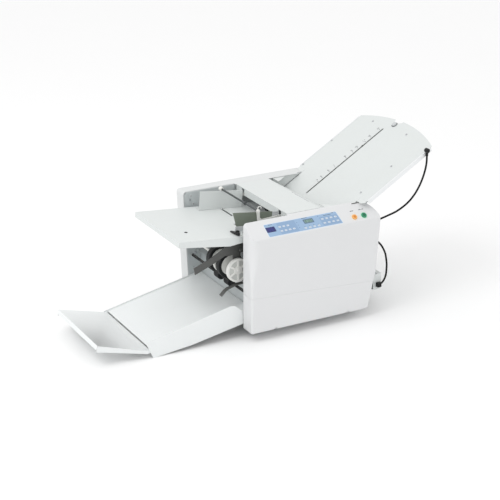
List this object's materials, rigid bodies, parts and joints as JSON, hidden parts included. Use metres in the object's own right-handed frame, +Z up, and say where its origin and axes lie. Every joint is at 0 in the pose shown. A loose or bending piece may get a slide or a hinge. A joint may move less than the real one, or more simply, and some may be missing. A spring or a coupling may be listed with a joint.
{
  "type": "paper folding machine",
  "caption": "Tabletop friction-feed paper folder with two buckle fold plates, sliding paper guides, driven fold rollers, exit wheels and a folding stacker tray.",
  "frame": {"origin": "on the table top, under the middle of the machine's outer box", "axes": "+X with the paper, from the stacker tray to the upper fold plate; +Y from the control side to the drive side; +Z up"},
  "size_m": [1.3278, 0.51, 0.62],
  "materials": {
    "cover_plastic": "fine-textured pale grey moulding",
    "painted_sheet": "light grey powder coat",
    "frame_steel": "zinc plated sheet",
    "shaft_steel": "ground bar",
    "roller_rubber": "ground black rubber",
    "dark_metal": "dark grey paint",
    "guide_metal": "olive grey paint",
    "white_plastic": "off-white moulding",
    "dark_plastic": "black moulding",
    "lead_sheath": "soft black sheath",
    "panel_film": "satin blue printed film",
    "key_film": "raised pale keys",
    "green_plastic": "green moulding",
    "orange_plastic": "orange moulding",
    "board_laminate": "green laminate",
    "cork_rubber": "brown friction pad"
  },
  "bodies": {
    "root": {"near_cover": "cover_plastic", "far_cover": "cover_plastic", "near_side_frame": "frame_steel", "far_side_frame": "frame_steel", "base_pan": "frame_steel", "rear_panel": "painted_sheet", "cross_ties": "shaft_steel", "rubber_feet": "roller_rubber", "control_panel": "panel_film", "panel_keys": "key_film", "circuit_board": "board_laminate", "power_supply": "frame_steel", "main_motor": "dark_metal", "drive_belts": "roller_rubber", "mains_inlet": "dark_plastic", "lead_sockets": "dark_plastic", "rear_guard": "painted_sheet", "feed_table": "painted_sheet", "table_brackets": "frame_steel", "separator_pad": "cork_rubber", "exit_chute": "frame_steel", "paper_finger": "dark_metal", "stacker_tray": "painted_sheet", "plate1_top_sheet": "painted_sheet", "plate1_bottom_sheet": "frame_steel", "plate1_rails": "painted_sheet", "plate2_top_sheet": "frame_steel", "plate2_bottom_sheet": "frame_steel", "plate2_rails": "painted_sheet", "stop_motors": "dark_metal", "lead_connectors": "dark_plastic", "upper_lead": "lead_sheath", "lower_lead": "lead_sheath", "panel_screws": "shaft_steel"},
    "top_cover": {"top_cover": "cover_plastic"},
    "hold_down": {"hold_down_arms": "white_plastic", "hold_down_rods": "dark_metal"},
    "near_guide": {"near_guide": "guide_metal"},
    "far_guide": {"far_guide": "painted_sheet"},
    "guide_pinion": {"guide_pinion": "white_plastic"},
    "guide_lever": {"guide_lever": "dark_plastic"},
    "feed_shaft": {"feed_shaft": "shaft_steel", "feed_tyres": "roller_rubber"},
    "fold_roller_1": {"fold_roller_1": "roller_rubber"},
    "fold_roller_2": {"fold_roller_2": "roller_rubber"},
    "fold_roller_3": {"fold_roller_3": "roller_rubber"},
    "fold_roller_4": {"fold_roller_4": "roller_rubber"},
    "motor_pulley": {"motor_pulley": "shaft_steel"},
    "exit_arms": {"exit_arms": "dark_metal"},
    "exit_wheels": {"exit_wheels": "white_plastic", "exit_tyres": "roller_rubber"},
    "lower_exit_roller": {"lower_exit_roller": "roller_rubber"},
    "plate1_stop": {"plate1_stop": "dark_plastic"},
    "plate1_lead_screw": {"plate1_lead_screw": "shaft_steel"},
    "plate2_stop": {"plate2_stop": "dark_plastic"},
    "plate2_lead_screw": {"plate2_lead_screw": "shaft_steel"},
    "start_button": {"start_button": "green_plastic"},
    "stop_button": {"stop_button": "orange_plastic"},
    "power_rocker": {"power_rocker": "dark_plastic"},
    "end_flap": {"end_flap": "painted_sheet"}
  },
  "joints": [
    {"name": "top_cover_hinge", "type": "hinge", "parent": "root", "child": "top_cover", "pos_m": [0.18369, 0, 0.402], "axis": [0, 1, 0], "range_deg": [0, 95]},
    {"name": "hold_down_lift", "type": "hinge", "parent": "root", "child": "hold_down", "pos_m": [0.09369, 0, 0.404], "axis": [0, 1, 0], "range_deg": [0, 7]},
    {"name": "near_guide_slide", "type": "slide", "parent": "root", "child": "near_guide", "axis": [0, 1, 0], "range_m": [0, 0.075]},
    {"name": "far_guide_slide", "type": "slide", "parent": "root", "child": "far_guide", "axis": [0, 1, 0], "range_m": [-0.075, 0]},
    {"name": "guide_pinion_spin", "type": "hinge", "parent": "root", "child": "guide_pinion", "pos_m": [-0.0546, 0, 0.35043], "axis": [0.0854, 0, 0.9963], "range_deg": [-400, 5]},
    {"name": "guide_lever_turn", "type": "hinge", "parent": "near_guide", "child": "guide_lever", "pos_m": [-0.11102, -0.139, 0.37132], "axis": [0.0854, 0, 0.9963], "range_deg": [0, 40]},
    {"name": "roller_2_spin", "type": "hinge", "parent": "root", "child": "fold_roller_2", "pos_m": [0.24565, 0, 0.34405], "axis": [0, 1, 0], "continuous": true},
    {"name": "roller_1_spin", "type": "hinge", "parent": "root", "child": "fold_roller_1", "pos_m": [0.22607, 0, 0.37662], "axis": [0, 1, 0], "continuous": true},
    {"name": "roller_3_spin", "type": "hinge", "parent": "root", "child": "fold_roller_3", "pos_m": [0.28307, 0, 0.33745], "axis": [0, 1, 0], "continuous": true},
    {"name": "roller_4_spin", "type": "hinge", "parent": "root", "child": "fold_roller_4", "pos_m": [0.25225, 0, 0.30662], "axis": [0, 1, 0], "continuous": true},
    {"name": "feed_shaft_spin", "type": "hinge", "parent": "root", "child": "feed_shaft", "pos_m": [0.11969, 0, 0.37604], "axis": [0, 1, 0], "continuous": true},
    {"name": "motor_spin", "type": "hinge", "parent": "root", "child": "motor_pulley", "pos_m": [0.02969, 0, 0.124], "axis": [0, 1, 0], "continuous": true},
    {"name": "exit_arms_lift", "type": "hinge", "parent": "root", "child": "exit_arms", "pos_m": [-0.01031, 0, 0.3], "axis": [0, 1, 0], "range_deg": [0, 10]},
    {"name": "exit_wheels_spin", "type": "hinge", "parent": "exit_arms", "child": "exit_wheels", "pos_m": [-0.12031, 0, 0.241], "axis": [0, 1, 0], "continuous": true},
    {"name": "lower_exit_spin", "type": "hinge", "parent": "root", "child": "lower_exit_roller", "pos_m": [-0.12031, 0, 0.1776], "axis": [0, 1, 0], "continuous": true},
    {"name": "plate1_stop_slide", "type": "slide", "parent": "root", "child": "plate1_stop", "axis": [0.8572, 0, 0.515], "range_m": [-0.245, 0.09]},
    {"name": "plate1_screw_turn", "type": "hinge", "parent": "root", "child": "plate1_lead_screw", "pos_m": [0.37894, 0, 0.42122], "axis": [0.8572, 0, 0.515], "range_deg": [-24000, 24000]},
    {"name": "plate2_stop_slide", "type": "slide", "parent": "root", "child": "plate2_stop", "axis": [0.617, 0, -0.7869], "range_m": [-0.07, 0.085]},
    {"name": "plate2_screw_turn", "type": "hinge", "parent": "root", "child": "plate2_lead_screw", "pos_m": [0.28153, 0, 0.28148], "axis": [0.617, 0, -0.7869], "range_deg": [-24000, 24000]},
    {"name": "start_button_press", "type": "slide", "parent": "root", "child": "start_button", "axis": [0, -0.6428, 0.766], "range_m": [-0.003, 0], "stiffness_N_per_m": 300, "springref_m": 0.002},
    {"name": "stop_button_press", "type": "slide", "parent": "root", "child": "stop_button", "axis": [0, -0.6428, 0.766], "range_m": [-0.003, 0], "stiffness_N_per_m": 300, "springref_m": 0.002},
    {"name": "power_rocker_tilt", "type": "hinge", "parent": "root", "child": "power_rocker", "pos_m": [0.37569, 0, 0.26], "axis": [0, 1, 0], "range_deg": [-16, 0]},
    {"name": "end_flap_fold", "type": "hinge", "parent": "root", "child": "end_flap", "pos_m": [-0.47231, 0, 0.023], "axis": [0, 1, 0], "range_deg": [0, 95]}
  ],
  "couplings": [
    {"joint": "far_guide_slide", "follows": "near_guide_slide", "ratio": -1},
    {"joint": "guide_pinion_spin", "follows": "near_guide_slide", "rad_per_m": -83.333},
    {"joint": "roller_1_spin", "follows": "roller_2_spin", "ratio": -1},
    {"joint": "roller_3_spin", "follows": "roller_2_spin", "ratio": -1},
    {"joint": "roller_4_spin", "follows": "roller_2_spin", "ratio": -1},
    {"joint": "feed_shaft_spin", "follows": "roller_2_spin", "ratio": -1},
    {"joint": "motor_spin", "follows": "roller_2_spin", "ratio": 2},
    {"joint": "plate1_screw_turn", "follows": "plate1_stop_slide", "rad_per_m": 628.32},
    {"joint": "plate2_screw_turn", "follows": "plate2_stop_slide", "rad_per_m": 628.32}
  ]
}
